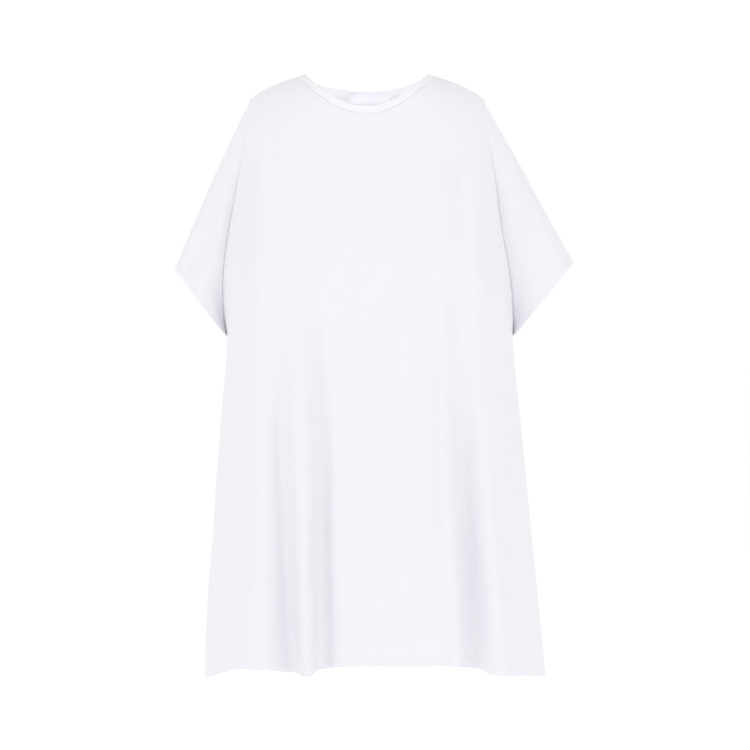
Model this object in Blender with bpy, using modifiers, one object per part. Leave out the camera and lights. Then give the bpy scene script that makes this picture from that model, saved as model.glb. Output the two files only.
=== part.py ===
"""A loose A-line dress with wide short sleeves and a round bound neck, held open as it is when worn.

Metres, +Z up, the front faces -Y, and +X is on the right of someone who looks at the front.
The origin lies between the two neck points, on the line of the shoulder seams.
Heights are given as a drop below that line.
"""

import math
from collections import namedtuple

import bmesh
import bpy
import numpy as np

WALL = 0.0014  # cloth
BINDING_WALL = 0.0019  # two folded layers
BINDING_PROUD = 0.0005  # how far the binding stands out from the cloth
LABEL_WALL = 0.0011

SIDE_SEAM_GAP = 0.0008  # between front and back
SHOULDER_SEAM_GAP = 0.0014  # the same where the cloth turns over the shoulder line
ARMHOLE_GAP = 0.0010  # between a sleeve and the body
SHOULDER_POINT_GAP = 0.0024  # the same at the shoulder point, where the two turn most
SHOULDER_POINT_FADE = 0.0500  # drop over which the seams go from their gaps at the shoulder point to their usual ones
UNDERARM_FADE = 0.0100  # drop over which the armhole's gap closes at the underarm
BINDING_GAP = 0.0009  # between the binding and the panels

NECK_HALF_WIDTH = 0.1013
NECK_DROP_FRONT = 0.0655
NECK_DROP_BACK = 0.0158
BINDING_WIDTH = 0.0110

SHOULDER_DROP = 0.0400  # of the shoulder point, where the sleeve starts
SHOULDER_HALF_WIDTH = 0.1900
UNDERARM_DROP = 0.4250
HEM_DROP = 0.9768  # at the side seams
SHOULDER_ROUND_FRONT = 0.0850  # drop over which the cloth turns from the shoulder line to the front
SHOULDER_ROUND_BACK = 0.0750

ARMHOLE_DEPTH_FRONT = 0.0430  # how far the armhole seam lies before the shoulder line
ARMHOLE_DEPTH_BACK = 0.0450
ARMHOLE_CLOSING_DROP = 0.2800  # from here its front and back draw together down to the underarm
ARMHOLE_FADING_DROP = 0.6200  # down to here the panels stay fuller beside the seam, as the armhole holds them
UNDERARM_SEAM = 0.0020
UNDERARM_HALF_OPENING = 0.0022
CUFF_DEPTH_FRONT = 0.0480
CUFF_DEPTH_BACK = 0.0500
SLEEVE_SQUARE = 0.85  # 1 makes a sleeve's top fold as round as an ellipse, and less makes it tighter
SLEEVE_TOP_GAP = 0.0008  # how far below the shoulder point a sleeve starts

# Exponents, and shares of a length, that shape the curves
ARMHOLE_ROUNDNESS = 0.7  # how fast the armhole opens above the underarm
SEAM_TUCK = 20  # how close to the seam the panels stay full before they draw in to it
FOLD_SEAM_HOLD = 8  # how close to the seam a fold reaches before the seam holds it flat
FOLD_GROWTH = 1.4  # how slowly a fold starts
FOLD_RUN_OUT = 0.0800  # how far below the hem a fading fold would end
NECK_LEAN = 0.4  # share of the neck's half width over which its left and right curves blend

LABEL_MIDDLE = 0.0040
LABEL_HALF_WIDTH = 0.0340
LABEL_HEIGHT = 0.0146
LABEL_TOP_DROP = 0.0188
LABEL_GAP = 0.0009  # between the label and the inner side of the binding
LABEL_COLUMNS = 12
LABEL_ROWS = 3

# Half widths to the seam at each side, and depths of the cloth before and behind the shoulder line
BodyLevel = namedtuple("BodyLevel", "drop left right front back square")
BODY_LEVELS = [
    BodyLevel(0.000, 0.1900, 0.1900, 0.088, 0.076, 1.00),
    BodyLevel(0.040, 0.1900, 0.1900, 0.095, 0.086, 1.00),
    BodyLevel(0.090, 0.1940, 0.1930, 0.104, 0.096, 1.00),
    BodyLevel(0.180, 0.2090, 0.2080, 0.119, 0.106, 1.00),
    BodyLevel(0.256, 0.2225, 0.2175, 0.129, 0.108, 0.97),
    BodyLevel(0.305, 0.2295, 0.2270, 0.132, 0.106, 0.93),
    BodyLevel(0.350, 0.2325, 0.2335, 0.132, 0.104, 0.89),
    BodyLevel(0.390, 0.2315, 0.2368, 0.131, 0.103, 0.85),
    BodyLevel(0.425, 0.2285, 0.2380, 0.130, 0.103, 0.82),
    BodyLevel(0.466, 0.2298, 0.2405, 0.129, 0.104, 0.80),
    BodyLevel(0.531, 0.2350, 0.2466, 0.128, 0.107, 0.78),
    BodyLevel(0.629, 0.2434, 0.2564, 0.127, 0.113, 0.76),
    BodyLevel(0.727, 0.2499, 0.2662, 0.127, 0.120, 0.74),
    BodyLevel(0.825, 0.2580, 0.2760, 0.128, 0.128, 0.72),
    BodyLevel(0.923, 0.2630, 0.2858, 0.130, 0.136, 0.70),
    BodyLevel(0.985, 0.2650, 0.2910, 0.131, 0.141, 0.70),
]

# How far round the cloth has turned where it meets the side or armhole seam, in degrees
EdgeTurn = namedtuple("EdgeTurn", "drop degrees")
EDGE_TURNS = [
    EdgeTurn(0.000, 48.0),
    EdgeTurn(0.120, 54.0),
    EdgeTurn(0.220, 66.0),
    EdgeTurn(0.320, 80.0),
    EdgeTurn(0.440, 88.5),
    EdgeTurn(0.560, 89.9),
    EdgeTurn(0.600, 89.9),
]

# The line of the shoulder seam, carried on over the neck opening, where there is no cloth
RidgePoint = namedtuple("RidgePoint", "x drop")
SHOULDER_LINE = [
    RidgePoint(0.0000, -0.0300),
    RidgePoint(0.0600, -0.0170),
    RidgePoint(0.1013, 0.0000),
    RidgePoint(0.1370, 0.0114),
    RidgePoint(0.1666, 0.0245),
    RidgePoint(0.1840, 0.0350),
    RidgePoint(0.1900, 0.0400),
]

# The top fold of each sleeve, from the shoulder point to the cuff
OVERARM_LEFT = [
    RidgePoint(0.1900, 0.0400),
    RidgePoint(0.1940, 0.0506),
    RidgePoint(0.2010, 0.0637),
    RidgePoint(0.2074, 0.0768),
    RidgePoint(0.2320, 0.1290),
    RidgePoint(0.2728, 0.2205),
    RidgePoint(0.3136, 0.3169),
]
OVERARM_RIGHT = [
    RidgePoint(0.1900, 0.0400),
    RidgePoint(0.1945, 0.0506),
    RidgePoint(0.2025, 0.0637),
    RidgePoint(0.2170, 0.0898),
    RidgePoint(0.2679, 0.1813),
    RidgePoint(0.3022, 0.2433),
    RidgePoint(0.3365, 0.3054),
]

# The hem's drop from side to side. Its sides hang lower, and so do its folds.
HemPoint = namedtuple("HemPoint", "x drop")
HEM_FRONT = [
    HemPoint(-0.2650, HEM_DROP),
    HemPoint(-0.2400, 0.9665),
    HemPoint(-0.2180, 0.9575),
    HemPoint(-0.1910, 0.9490),
    HemPoint(-0.1600, 0.9490),
    HemPoint(-0.1400, 0.9525),
    HemPoint(-0.1200, 0.9560),
    HemPoint(-0.0980, 0.9575),
    HemPoint(-0.0700, 0.9510),
    HemPoint(-0.0500, 0.9465),
    HemPoint(0.0600, 0.9455),
    HemPoint(0.1500, 0.9465),
    HemPoint(0.1750, 0.9520),
    HemPoint(0.1960, 0.9585),
    HemPoint(0.2150, 0.9590),
    HemPoint(0.2600, 0.9660),
    HemPoint(0.2910, HEM_DROP),
]
HEM_BACK = [
    HemPoint(-0.2650, HEM_DROP),
    HemPoint(-0.2200, 0.9660),
    HemPoint(-0.1500, 0.9600),
    HemPoint(0.0000, 0.9560),
    HemPoint(0.1500, 0.9600),
    HemPoint(0.2300, 0.9680),
    HemPoint(0.2910, HEM_DROP),
]

# Each hanging fold runs down through three places. left and right are its widths on either side of its crest at the
# hem, narrow is how much of that width it has where it starts, and height is how far it stands out, or in below zero.
# swell is the drop where it is at its fullest: it fades below that.
Fold = namedtuple("Fold", "name start x_start bend x_bend x_hem left right narrow height swell")
FRONT_FOLDS = [
    Fold("left_panel", 0.380, -0.176, 0.660, -0.172, -0.166, 0.074, 0.048, 0.80, 0.028, 0.985),
    Fold("left_tube", 0.330, -0.116, 0.620, -0.101, -0.091, 0.027, 0.028, 1.25, 0.030, 0.985),
    Fold("left_inner", 0.200, -0.104, 0.500, -0.080, -0.062, 0.026, 0.030, 0.70, -0.008, 0.700),
    Fold("left_fall", 0.070, -0.178, 0.330, -0.172, -0.180, 0.044, 0.052, 0.60, 0.012, 0.380),
    Fold("right_panel", 0.380, 0.192, 0.660, 0.204, 0.225, 0.054, 0.076, 0.85, 0.034, 0.985),
    Fold("right_hollow", 0.300, 0.137, 0.600, 0.158, 0.168, 0.030, 0.030, 0.70, -0.010, 0.800),
    Fold("right_crest", 0.180, 0.130, 0.560, 0.121, 0.144, 0.036, 0.026, 0.80, 0.012, 0.985),
    Fold("right_inner", 0.230, 0.100, 0.480, 0.100, 0.104, 0.034, 0.026, 0.80, -0.004, 0.520),
    Fold("right_fall", 0.080, 0.176, 0.330, 0.175, 0.200, 0.050, 0.042, 0.60, 0.012, 0.360),
]
BACK_FOLDS = [
    Fold("back_left_side", 0.360, -0.196, 0.660, -0.200, -0.206, 0.060, 0.052, 0.60, 0.028, 0.985),
    Fold("back_left_hollow", 0.300, -0.130, 0.620, -0.136, -0.142, 0.048, 0.046, 0.60, -0.012, 0.985),
    Fold("back_left_tube", 0.260, -0.078, 0.600, -0.082, -0.090, 0.046, 0.052, 0.55, 0.030, 0.985),
    Fold("back_middle", 0.160, -0.012, 0.560, -0.004, 0.006, 0.062, 0.058, 0.60, -0.012, 0.985),
    Fold("back_right_tube", 0.300, 0.072, 0.640, 0.086, 0.104, 0.050, 0.044, 0.55, 0.032, 0.985),
    Fold("back_right_hollow", 0.360, 0.130, 0.660, 0.146, 0.160, 0.042, 0.040, 0.60, -0.010, 0.985),
    Fold("back_right_side", 0.330, 0.186, 0.660, 0.204, 0.222, 0.052, 0.062, 0.60, 0.026, 0.985),
    Fold("back_left_fall", 0.080, -0.168, 0.300, -0.166, -0.180, 0.046, 0.050, 0.60, 0.010, 0.330),
    Fold("back_right_fall", 0.080, 0.168, 0.300, 0.168, 0.190, 0.050, 0.046, 0.60, 0.010, 0.330),
]

# The front of each sleeve dips beside its top fold. round and spread are the place and half width of the dip, in
# degrees from that fold to the front. start and full are shares of the sleeve's length.
SleeveDip = namedtuple("SleeveDip", "side round spread depth start full")
SLEEVE_DIPS = [
    SleeveDip(-1, 62.0, 34.0, 0.0060, 0.35, 0.75),
    SleeveDip(1, 74.0, 30.0, 0.0035, 0.35, 0.75),
]

SHOULDER_COLUMNS = 8
NECK_COLUMNS = 46
SLEEVE_COLUMNS = 16
BINDING_COLUMNS = 64
BINDING_ROWS = 2
SHOULDER_ROWS = 5
ARMHOLE_ROWS = 3
CLOSING_ROWS = 4
SKIRT_ROWS = 10
FINE = 260  # places where a row is worked out before it is divided evenly


def smooth(table_x, table_y, at):
    """The value at each place of a curve that passes through the table's points without a corner."""
    xs, ys, at = np.asarray(table_x, float), np.asarray(table_y, float), np.asarray(at, float)
    steps = np.diff(ys) / np.diff(xs)
    slopes = np.concatenate([steps[:1], (steps[1:] + steps[:-1]) / 2, steps[-1:]])
    turns = np.concatenate([[False], steps[1:] * steps[:-1] <= 0, [False]])
    slopes[turns] = 0
    at = np.clip(at, xs[0], xs[-1])
    i = np.clip(np.searchsorted(xs, at) - 1, 0, len(xs) - 2)
    width = xs[i + 1] - xs[i]
    t = (at - xs[i]) / width
    rise = (3 * t**2 - 2 * t**3) * (ys[i + 1] - ys[i])
    bend = width * ((t**3 - 2 * t**2 + t) * slopes[i] + (t**3 - t**2) * slopes[i + 1])
    return ys[i] + rise + bend


def column(table, name):
    return [getattr(row, name) for row in table]


def body(name, drop):
    return smooth(column(BODY_LEVELS, "drop"), column(BODY_LEVELS, name), drop)


def half_width(side, drop):
    """From the middle to the seam, on the left where side is below zero."""
    return np.where(np.asarray(side) < 0, body("left", drop), body("right", drop))


def armhole_inset(drop):
    """Half the gap between a sleeve and the body. There is none below the underarm."""
    share = np.clip((np.asarray(drop) - SHOULDER_DROP) / SHOULDER_POINT_FADE, 0, 1)
    gap = SHOULDER_POINT_GAP + (ARMHOLE_GAP - SHOULDER_POINT_GAP) * share
    return np.clip((UNDERARM_DROP - drop) / UNDERARM_FADE, 0, 1) * gap / 2


def edge_turn(drop):
    return np.radians(smooth(column(EDGE_TURNS, "drop"), column(EDGE_TURNS, "degrees"), drop))


def ridge_drop(x):
    return smooth(column(SHOULDER_LINE, "x"), column(SHOULDER_LINE, "drop"), np.abs(x))


def quarter_round(share):
    """The height of a quarter circle, from 0 at its foot to 1 at its top."""
    left = 1 - np.clip(share, 0, 1)
    return np.sqrt(1 - left * left)


def armhole_closing(drop):
    """1 down to where the armhole's front and back start to draw together, and 0 at the underarm and below."""
    closed = UNDERARM_DROP - UNDERARM_SEAM
    share = np.clip((closed - np.asarray(drop)) / (closed - ARMHOLE_CLOSING_DROP), 0, 1)
    return np.sin(math.pi / 2 * share) ** ARMHOLE_ROUNDNESS


def bump(offset, left, right):
    """1 at the crest of a fold, easing to 0 at its left and right widths."""
    share = np.where(offset < 0, offset / left, offset / right)
    return np.where(np.abs(share) < 1, 0.5 + 0.5 * np.cos(math.pi * np.clip(share, -1, 1)), 0)


def folds(table, x, drop):
    """How far the hanging folds stand out at a place."""
    out = np.zeros_like(x)
    for fold in table:
        crest = smooth([fold.start, fold.bend, HEM_DROP], [fold.x_start, fold.x_bend, fold.x_hem], drop)
        run = np.clip((drop - fold.start) / (HEM_DROP - fold.start), 0, 1)
        width = fold.narrow + (1 - fold.narrow) * run
        grown = np.clip((drop - fold.start) / (fold.swell - fold.start), 0, None)
        fading = 1 - np.clip((drop - fold.swell) / (HEM_DROP - fold.swell + FOLD_RUN_OUT), 0, 1)
        growing = np.sin(math.pi / 2 * np.clip(grown, 0, 1)) ** FOLD_GROWTH
        height = fold.height * np.where(grown < 1, growing, fading)
        out = out + height * bump(x - crest, fold.left * width, fold.right * width)
    return out


Neck = namedtuple("Neck", "drop left right")
FRONT_NECK = Neck(NECK_DROP_FRONT, 0.90, 1.00)
BACK_NECK = Neck(NECK_DROP_BACK, 0.55, 1.00)

Face = namedtuple("Face", "sign depth armhole round folds hem neck")
FRONT = Face(-1, "front", ARMHOLE_DEPTH_FRONT, SHOULDER_ROUND_FRONT, FRONT_FOLDS, HEM_FRONT, FRONT_NECK)
BACK = Face(1, "back", ARMHOLE_DEPTH_BACK, SHOULDER_ROUND_BACK, BACK_FOLDS, HEM_BACK, BACK_NECK)


def depth_of(face, x, drop):
    """The distance of the cloth from the plane of the side seams, before or behind it."""
    share = np.clip(x / (half_width(x, drop) - armhole_inset(drop)), -1, 1)
    turn = edge_turn(drop)
    arc = np.sqrt(np.clip(1 - (share * np.sin(turn)) ** 2, 0, 1))
    crown = np.clip((arc - np.cos(turn)) / (1 - np.cos(turn)), 0, 1) ** body("square", drop)
    closing = armhole_closing(drop)
    fading = np.clip((drop - ARMHOLE_CLOSING_DROP) / (ARMHOLE_FADING_DROP - ARMHOLE_CLOSING_DROP), 0, 1)
    held = face.armhole * (0.5 + 0.5 * np.cos(math.pi * fading))
    full = held + (body(face.depth, drop) - held) * crown
    full = full - (held - face.armhole * closing) * np.abs(share) ** SEAM_TUCK
    shoulder = quarter_round((drop - ridge_drop(x)) / face.round)
    standing = folds(face.folds, x, drop) * (1 - np.abs(share) ** FOLD_SEAM_HOLD)
    return seam_gap(drop) / 2 + shoulder * full + standing


def seam_gap(drop):
    """The gap between front and back at their seams."""
    share = np.clip((drop - SHOULDER_DROP) / SHOULDER_POINT_FADE, 0, 1)
    return SHOULDER_SEAM_GAP + (SIDE_SEAM_GAP - SHOULDER_SEAM_GAP) * share


def on_cloth(face, x, drop):
    return np.stack([x, face.sign * depth_of(face, x, drop), -drop], axis=-1)


def neck_point(offset):
    """How far from the middle the neckline meets the shoulder line, when it is moved out by an offset."""
    return NECK_HALF_WIDTH + offset


def neckline_drop(face, x, offset):
    """The drop of the neckline, or of a line that runs beside it at an offset."""
    half = neck_point(offset)
    share = np.clip(np.abs(x) / half, 0, 1)
    lean = 0.5 + 0.5 * np.tanh(x / (NECK_LEAN * half))
    power = face.neck.left + (face.neck.right - face.neck.left) * lean
    ends = ridge_drop(half)
    return ends + (face.neck.drop + offset - ends) * (1 - share**2) ** power


def evenly(points, pieces):
    """A line of points divided into pieces of equal length."""
    lengths = np.concatenate([[0], np.cumsum(np.linalg.norm(np.diff(points, axis=0), axis=1))])
    at = np.linspace(0, lengths[-1], pieces + 1)
    return np.stack([np.interp(at, lengths, points[:, k]) for k in range(3)], axis=1)


def row_shares():
    """Where the rows lie between the shoulder point and the hem, as shares of that drop."""
    whole = HEM_DROP - SHOULDER_DROP
    shoulder = SHOULDER_ROUND_FRONT * (1 - np.cos(np.linspace(0, math.pi / 2, SHOULDER_ROWS + 1)))
    closing = ARMHOLE_CLOSING_DROP - SHOULDER_DROP
    armhole = np.linspace(SHOULDER_ROUND_FRONT, closing, ARMHOLE_ROWS + 1)[1:]
    underarm = UNDERARM_DROP - SHOULDER_DROP
    drawing = closing + (underarm - closing) * np.sin(np.linspace(0, math.pi / 2, CLOSING_ROWS + 1))[1:]
    skirt = np.linspace(underarm, whole, SKIRT_ROWS + 1)[1:]
    return np.concatenate([shoulder, armhole, drawing, skirt]) / whole


def spread(places, drop):
    """How far from the middle a place on a panel lies. Places run from -1 at its left edge to 1 at its right one."""
    turned = edge_turn(drop)
    return (half_width(places, drop) - armhole_inset(drop)) * np.sin(places * turned) / np.sin(turned)


def panel_rows(face):
    """The front's or the back's outer points, row by row from the shoulders and neck to the hem."""
    turn = float(edge_turn(SHOULDER_DROP))
    shoulder = SHOULDER_HALF_WIDTH - float(armhole_inset(SHOULDER_DROP))
    neck = neck_point(BINDING_WIDTH + BINDING_GAP)
    neck_share = math.asin(neck / shoulder * math.sin(turn)) / turn
    outer = np.linspace(neck_share, 1, FINE)
    inner = np.sin(np.linspace(-math.pi / 2, math.pi / 2, FINE)) * neck_share
    rows = []
    for share in row_shares():
        pieces = []
        for places, count in ((-outer[::-1], SHOULDER_COLUMNS), (inner, NECK_COLUMNS), (outer, SHOULDER_COLUMNS)):
            at_top = shoulder * np.sin(places * turn) / math.sin(turn)
            at_hem = half_width(places, HEM_DROP) * np.sin(places * math.pi / 2)
            cut = neckline_drop(face, at_top, BINDING_WIDTH + BINDING_GAP)
            top = np.where(np.abs(places) < neck_share, cut, ridge_drop(at_top))
            hem = smooth(column(face.hem, "x"), column(face.hem, "drop"), at_hem)
            drop = top + (hem - top) * share
            x = spread(places, drop) + (at_top - spread(places, top)) * (1 - share)
            pieces.append(evenly(on_cloth(face, x, drop), count))
        rows.append(np.concatenate([pieces[0][:-1], pieces[1], pieces[2][1:]]))
    return rows


def sleeve_rows(side, overarm):
    """A sleeve's outer points: each row runs from the front armhole seam over the top fold to the back one."""
    count = SHOULDER_ROWS + ARMHOLE_ROWS + CLOSING_ROWS + 1
    drops = SHOULDER_DROP + row_shares()[:count] * (HEM_DROP - SHOULDER_DROP)
    drops[0] = drops[0] + SLEEVE_TOP_GAP
    line = np.array([[point.x, point.drop] for point in overarm])
    lengths = np.concatenate([[0], np.cumsum(np.linalg.norm(np.diff(line, axis=0), axis=1))])
    rows = []
    for drop in drops:
        share = (drop - SHOULDER_DROP) / (UNDERARM_DROP - SHOULDER_DROP)
        top = np.array([smooth(lengths, line[:, k], share * lengths[-1]) for k in range(2)])
        seam_x = float(half_width(side, drop)) + float(armhole_inset(drop))
        halves = []
        for face, cuff in ((FRONT, CUFF_DEPTH_FRONT), (BACK, CUFF_DEPTH_BACK)):
            at_seam = float(depth_of(face, np.array(side * seam_x), np.array(drop)))
            at_seam = max(at_seam, UNDERARM_HALF_OPENING)
            halves.append(sleeve_half(face, side, share, top, (seam_x, drop), at_seam, cuff))
        line_of_row = np.concatenate([halves[0][:0:-1], halves[1]])
        rows.append(evenly(line_of_row, SLEEVE_COLUMNS))
    return rows


def sleeve_half(face, side, share, top, seam, at_seam, cuff):
    """From the top fold to the seam along part of an ellipse, which has turned further the nearer the cuff is."""
    seam_angle = 2 * math.atan(math.dist(top, seam) / at_seam)
    depth = at_seam / math.sin(seam_angle)
    if seam_angle > math.pi / 2 and depth > cuff:
        depth = cuff
        seam_angle = math.pi - math.asin(min(1.0, at_seam / cuff))
    angles = np.linspace(0, seam_angle, FINE)
    along = (1 - np.cos(angles)) / (1 - math.cos(seam_angle))
    x = top[0] + (seam[0] - top[0]) * along
    drop = top[1] + (seam[1] - top[1]) * along
    squared = SLEEVE_SQUARE + (1 - SLEEVE_SQUARE) * angles / seam_angle
    y = depth * np.sin(angles) ** squared
    y = y * (at_seam / y[-1]) ** (angles / seam_angle)
    if face.sign < 0:
        dip = next(d for d in SLEEVE_DIPS if d.side == side)
        near = bump(np.degrees(angles) - dip.round, dip.spread, dip.spread)
        y = y - dip.depth * near * np.clip((share - dip.start) / (dip.full - dip.start), 0, 1)
    return np.stack([side * x, face.sign * y, -drop], axis=-1)


def binding_rows():
    """The neck binding's outer points: each row is a whole ring, at an offset from the neck's edge."""
    rows = []
    for offset in np.linspace(0, BINDING_WIDTH, BINDING_ROWS + 1):
        half = neck_point(offset)
        ring = []
        for face, way in ((FRONT, 1), (BACK, -1)):
            x = half * np.sin(np.linspace(-math.pi / 2, math.pi / 2, FINE)) * way
            drop = neckline_drop(face, x, offset)
            points = on_cloth(face, x, drop)
            points[:, 1] -= face.sign * seam_gap(drop) / 2
            ring.append(evenly(points, BINDING_COLUMNS // 2)[:-1])
        rows.append(np.concatenate(ring))
    return rows


def label_rows():
    """The label hangs inside the back neck, over the inner side of the binding."""
    x = LABEL_MIDDLE + np.linspace(-LABEL_HALF_WIDTH, LABEL_HALF_WIDTH, LABEL_COLUMNS + 1)
    drops = np.linspace(LABEL_TOP_DROP, LABEL_TOP_DROP + LABEL_HEIGHT, LABEL_ROWS + 1)
    return [on_cloth(BACK, x, np.full_like(x, drop)) for drop in drops]


def grid_mesh(name, rows, ring=False):
    """A mesh of four-sided faces through rows of points."""
    shape = bmesh.new()
    lines = [[shape.verts.new(point) for point in row] for row in rows]
    for upper, lower in zip(lines, lines[1:]):
        count = len(upper) if ring else len(upper) - 1
        for i in range(count):
            j = (i + 1) % len(upper)
            shape.faces.new((upper[i], upper[j], lower[j], lower[i]))
    mesh = bpy.data.meshes.new(name)
    shape.to_mesh(mesh)
    shape.free()
    return mesh


def outward_share(mesh):
    """Above zero if more of the faces look away from the garment's upright axis than towards it."""
    total = 0.0
    for face in mesh.polygons:
        away = face.center.copy()
        away.z = 0
        total += face.normal.dot(away) * face.area
    return total


def cloth_piece(name, rows, wall, material, collection, ring=False, moved=0.0):
    """One piece of cloth: an open surface moved out along its normals, then thickened inwards."""
    mesh = grid_mesh(name, rows, ring)
    if outward_share(mesh) < 0:
        mesh.flip_normals()
    if moved:
        for vertex, normal in zip(mesh.vertices, [v.normal.copy() for v in mesh.vertices]):
            vertex.co += normal * moved
    mesh.shade_smooth()
    piece = bpy.data.objects.new(name, mesh)
    collection.objects.link(piece)
    mesh.materials.append(material)
    thickness = piece.modifiers.new("Cloth thickness", "SOLIDIFY")
    thickness.thickness = wall
    thickness.offset = -1.0
    thickness.use_even_offset = False
    return piece


def cloth_material(name, colour, roughness):
    material = bpy.data.materials.new(name)
    material.use_nodes = True
    shader = material.node_tree.nodes["Principled BSDF"]
    shader.inputs["Base Color"].default_value = (*colour, 1)
    shader.inputs["Roughness"].default_value = roughness
    shader.inputs["Metallic"].default_value = 0
    return material


def main():
    for old in list(bpy.data.objects):
        bpy.data.objects.remove(old)
    dress = bpy.data.collections.new("dress")
    bpy.context.scene.collection.children.link(dress)
    cloth = cloth_material("white cloth", (0.90, 0.90, 0.93), 0.85)
    bound = cloth_material("white binding", (0.92, 0.92, 0.94), 0.80)
    woven = cloth_material("white label", (0.88, 0.88, 0.90), 0.60)
    cloth_piece("front", panel_rows(FRONT), WALL, cloth, dress)
    cloth_piece("back", panel_rows(BACK), WALL, cloth, dress)
    cloth_piece("sleeve_left", sleeve_rows(-1, OVERARM_LEFT), WALL, cloth, dress)
    cloth_piece("sleeve_right", sleeve_rows(1, OVERARM_RIGHT), WALL, cloth, dress)
    cloth_piece(
        "neck_binding", binding_rows(), BINDING_WALL, bound, dress, ring=True, moved=BINDING_PROUD
    )
    inside = BINDING_WALL - BINDING_PROUD + LABEL_GAP
    cloth_piece("neck_label", label_rows(), LABEL_WALL, woven, dress, moved=-inside)


main()
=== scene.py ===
import math

import bmesh
import bpy
import numpy as np
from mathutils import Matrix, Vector


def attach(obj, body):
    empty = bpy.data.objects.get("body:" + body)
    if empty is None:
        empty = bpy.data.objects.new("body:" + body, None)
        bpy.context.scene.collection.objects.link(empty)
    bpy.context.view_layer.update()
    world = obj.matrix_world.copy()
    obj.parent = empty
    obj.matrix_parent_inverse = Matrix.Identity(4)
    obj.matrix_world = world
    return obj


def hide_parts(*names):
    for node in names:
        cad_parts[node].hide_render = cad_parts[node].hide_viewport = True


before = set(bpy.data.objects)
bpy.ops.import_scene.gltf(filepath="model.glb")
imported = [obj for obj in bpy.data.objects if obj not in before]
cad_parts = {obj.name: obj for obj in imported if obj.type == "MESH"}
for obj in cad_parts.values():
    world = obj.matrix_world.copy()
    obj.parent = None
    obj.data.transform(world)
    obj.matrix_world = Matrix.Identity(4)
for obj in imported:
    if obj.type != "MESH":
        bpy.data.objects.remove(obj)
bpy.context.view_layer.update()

print("frame loaded")

# Everything is in metres. The front faces -Y, and heights are written as a drop below the neck points.

dress = {
    "wall": 0.0012,
    "sideGap": 0.0004,  # between front and back, and between sleeve and body
    "shoulderGap": 0.001,
    "pointGap": 0.0009,  # between sleeve and body at the shoulder point
    "shoulderFade": 0.05,  # down from the shoulder to where those gaps have the usual size
    "neckHalf": 0.1013,
    "neckLean": 0.4,  # share of it over which the neckline's left and right curves blend
    "bindingWidth": 0.011,
    "bindingGap": 0.0003,
    "shoulderDrop": 0.04,
    "shoulderHalf": 0.19,
    "underarm": 0.425,
    "underarmSeam": 0.002,  # how far above it the armhole is drawn together
    "underarmFade": 0.01,
    "hem": 0.9768,
    "hemBand": 0.0105,  # how deep the hem and the cuffs are turned up
    "hemWall": 0.0011,  # how much thicker the cloth is there
    "hemStep": 0.0012,
    "closingDrop": 0.28,  # from here the armhole draws together
    "fadingDrop": 0.62,  # down to here the panels stay fuller beside the side seams
    "seamDip": 0.0004,
    "seamWidth": 0.0024,
    "shoulderDip": 0.0009,
    "shoulderWidth": 0.0022,
    "armholePower": 0.7,  # these powers shape the cloth beside its seams and how its folds grow
    "tuckPower": 20,
    "holdPower": 8,
    "growthPower": 1.4,
    "foldRunOut": 0.08,
}

# half widths to the side seams, and how far the cloth stands before and behind them
bodyLevels = {
    "drop": [0, .04, .09, .18, .256, .305, .35, .39, .425, .466, .531, .629, .727, .825, .923, .985],
    "left": [.19, .19, .194, .209, .2225, .2295, .2325, .2315,
             .2285, .2298, .235, .2434, .2499, .258, .263, .265],
    "right": [.19, .19, .193, .208, .2175, .227, .2335, .2368,
              .238, .2405, .2466, .2564, .2662, .276, .2858, .291],
    "front": [.088, .095, .104, .119, .129, .132, .132, .131, .13, .129, .128, .127, .127, .128, .13, .131],
    "back": [.076, .086, .096, .106, .108, .106, .104, .103, .103, .104, .107, .113, .12, .128, .136, .141],
    "square": [1, 1, 1, 1, .97, .93, .89, .85, .82, .8, .78, .76, .74, .72, .7, .7],
}
# how far round the cloth has turned where it meets the side or armhole seam
edgeTurns = {
    "drop": [0, .12, .22, .32, .44, .56, .6],
    "degrees": [48, 54, 66, 80, 88.5, 89.9, 89.9],
}
shoulderLine = {
    "x": [0, .06, .1013, .137, .1666, .184, .19],
    "drop": [-.03, -.017, 0, .0114, .0245, .035, .04],
}


def smooth(xs, ys, at):
    # a curve through the points with no corner
    xs, ys, at = np.asarray(xs, float), np.asarray(ys, float), np.asarray(at, float)
    steps = np.diff(ys) / np.diff(xs)
    slopes = np.concatenate([steps[:1], (steps[1:] + steps[:-1]) / 2, steps[-1:]])
    slopes[np.concatenate([[False], steps[1:] * steps[:-1] <= 0, [False]])] = 0
    at = np.clip(at, xs[0], xs[-1])
    i = np.clip(np.searchsorted(xs, at) - 1, 0, len(xs) - 2)
    width = xs[i + 1] - xs[i]
    t = (at - xs[i]) / width
    rise = (3 * t**2 - 2 * t**3) * (ys[i + 1] - ys[i])
    return ys[i] + rise + width * ((t**3 - 2 * t**2 + t) * slopes[i] + (t**3 - t**2) * slopes[i + 1])


def ease(share):
    share = np.clip(share, 0, 1)
    return share * share * (3 - 2 * share)


def bump(offset, left, right):
    # 1 at a crest, easing down to 0 at its left and right widths
    share = np.where(offset < 0, offset / left, offset / right)
    return np.where(np.abs(share) < 1, 0.5 + 0.5 * np.cos(math.pi * np.clip(share, -1, 1)), 0)


def near(distance, reach):
    # 1 on a line, falling softly to nothing at about twice the reach
    return np.exp(-((distance / reach) ** 2))


def unit(vectors):
    return vectors / np.maximum(np.linalg.norm(vectors, axis=-1, keepdims=True), 1e-12)


def level(name, drop):
    return smooth(bodyLevels["drop"], bodyLevels[name], drop)


def halfWidth(side, drop):
    return np.where(np.asarray(side) < 0, level("left", drop), level("right", drop))


def gapFrom(name, drop):
    # a seam's gap, which goes from its size at the shoulder to the usual one
    share = np.clip((np.asarray(drop) - dress["shoulderDrop"]) / dress["shoulderFade"], 0, 1)
    return dress[name] + (dress["sideGap"] - dress[name]) * share


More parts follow.
